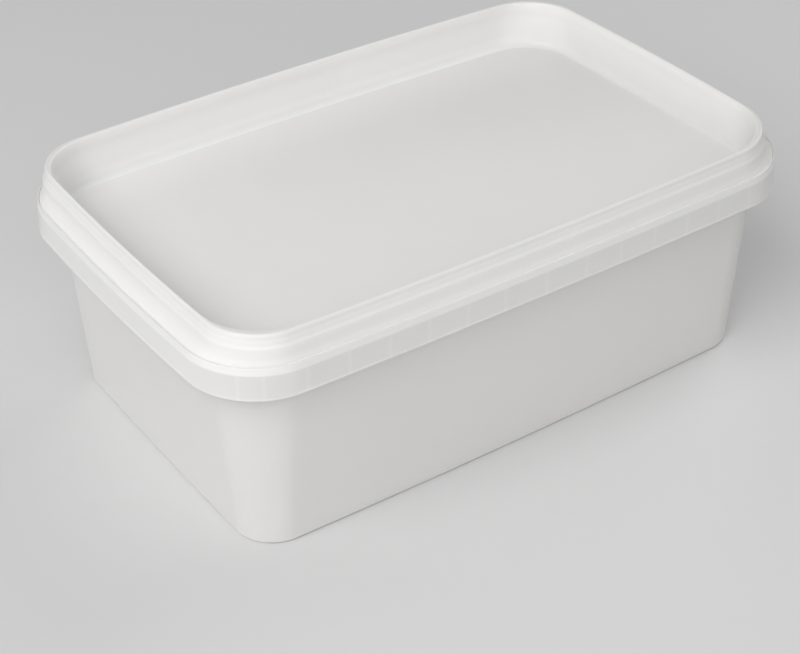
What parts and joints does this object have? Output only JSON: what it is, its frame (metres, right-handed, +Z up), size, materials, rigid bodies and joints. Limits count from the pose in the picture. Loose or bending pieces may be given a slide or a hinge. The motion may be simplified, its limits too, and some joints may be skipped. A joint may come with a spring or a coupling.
{
  "type": "ice cream container",
  "caption": "Shut rectangular ice cream tub of white plastic, with a hanging band round its rim and a lid with a recessed top for stacking.",
  "frame": {"origin": "middle of the flat base, at the surface that the container stands on", "axes": "+X along the long side, +Y across, +Z up"},
  "size_m": [0.2266, 0.1448, 0.0842],
  "materials": {
    "tub_plastic": "satin, slightly translucent",
    "lid_plastic": "satin, slightly translucent"
  },
  "bodies": {
    "root": {"tub": "tub_plastic", "lid": "lid_plastic"}
  },
  "joints": []
}
